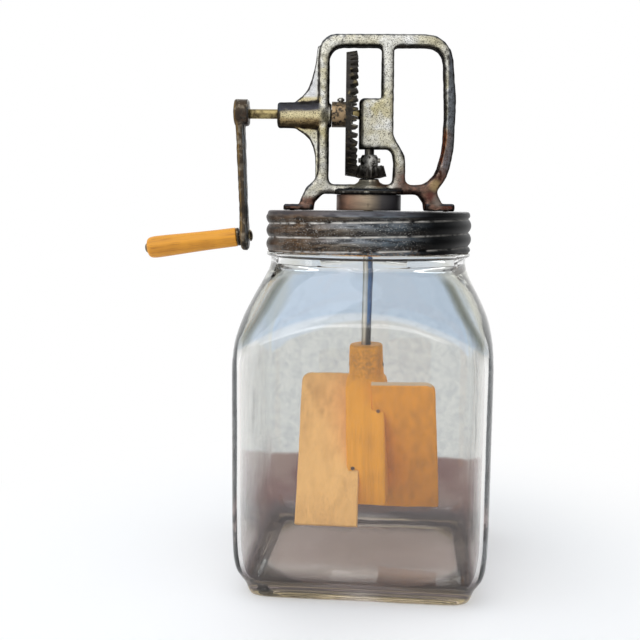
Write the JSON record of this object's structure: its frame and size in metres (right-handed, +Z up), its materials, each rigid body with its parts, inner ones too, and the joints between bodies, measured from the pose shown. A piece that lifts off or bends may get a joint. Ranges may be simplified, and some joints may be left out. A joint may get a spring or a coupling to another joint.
{
  "type": "butter churn",
  "caption": "Hand cranked glass jar churn: a crank turns a bevel gear pair on a cast frame over a screw lid, which spins a two-board wooden dasher in a square jar.",
  "frame": {"origin": "middle of the jar's flat underside, on the surface that it stands on", "axes": "+Z up along the dasher shaft and the jar's axis, -Y out of the jar's front face, the crank to the -X side"},
  "size_m": [0.2183, 0.1524, 0.3375],
  "materials": {
    "clear_glass": "clear moulded glass with a slight purple tint in its thick foot",
    "dull_zinc": "tarnished zinc-coated sheet, dull grey with brown stains",
    "seal_cork": "flat brown sealing ring",
    "worn_iron": "rough casting, tin worn off to grey and brown iron",
    "dark_iron": "dark oily cast iron with brown edges",
    "oily_steel": "turned steel, oiled and browned",
    "grip_wood": "honey-coloured varnished hardwood with fine grain",
    "hub_wood": "golden orange hardwood, mottled and waxed by use",
    "pale_board": "pale tan plain-sawn board, bare",
    "warm_board": "deeper orange board with darker stains, bare"
  },
  "bodies": {
    "jar": {"jar": "clear_glass"},
    "seal": {"lid_gasket": "seal_cork"},
    "lid": {"lid": "dull_zinc", "vent_collar": "dull_zinc", "gear_frame": "worn_iron", "foot_screw_left": "oily_steel", "foot_screw_right": "oily_steel", "foot_nut_left": "oily_steel", "foot_nut_right": "oily_steel"},
    "crank": {"crankshaft": "oily_steel", "drive_gear": "dark_iron", "gear_set_screw": "oily_steel", "crank_arm": "dark_iron", "handle_spindle": "oily_steel", "grip_washer": "dark_iron"},
    "grip": {"handle_grip": "grip_wood"},
    "dasher": {"dasher_shaft": "oily_steel", "pinion": "dark_iron", "pinion_pin": "oily_steel", "dasher_hub": "hub_wood", "paddle_left": "pale_board", "paddle_right": "warm_board", "paddle_nail_1": "oily_steel", "paddle_nail_2": "oily_steel", "paddle_nail_3": "oily_steel", "paddle_nail_4": "oily_steel", "neck_pin": "oily_steel"}
  },
  "joints": [
    {"name": "lid_lift", "type": "slide", "parent": "jar", "child": "seal", "axis": [0, 0, 1], "range_m": [0, 0.21]},
    {"name": "lid_turn", "type": "hinge", "parent": "seal", "child": "lid", "pos_m": [0, 0, 0.2297], "axis": [0, 0, 1], "range_deg": [0, 360]},
    {"name": "crank_turn", "type": "hinge", "parent": "lid", "child": "crank", "pos_m": [0, 0, 0.2891], "axis": [0.9976, 0.0698, 0], "continuous": true},
    {"name": "grip_turn", "type": "hinge", "parent": "crank", "child": "grip", "pos_m": [-0.07825, -0.00547, 0.2129], "axis": [-0.9888, -0.0691, -0.1323], "continuous": true},
    {"name": "dasher_turn", "type": "hinge", "parent": "lid", "child": "dasher", "pos_m": [0, 0, 0.26], "axis": [0, 0, 1], "continuous": true}
  ],
  "couplings": [
    {"joint": "dasher_turn", "follows": "crank_turn", "ratio": -4}
  ]
}
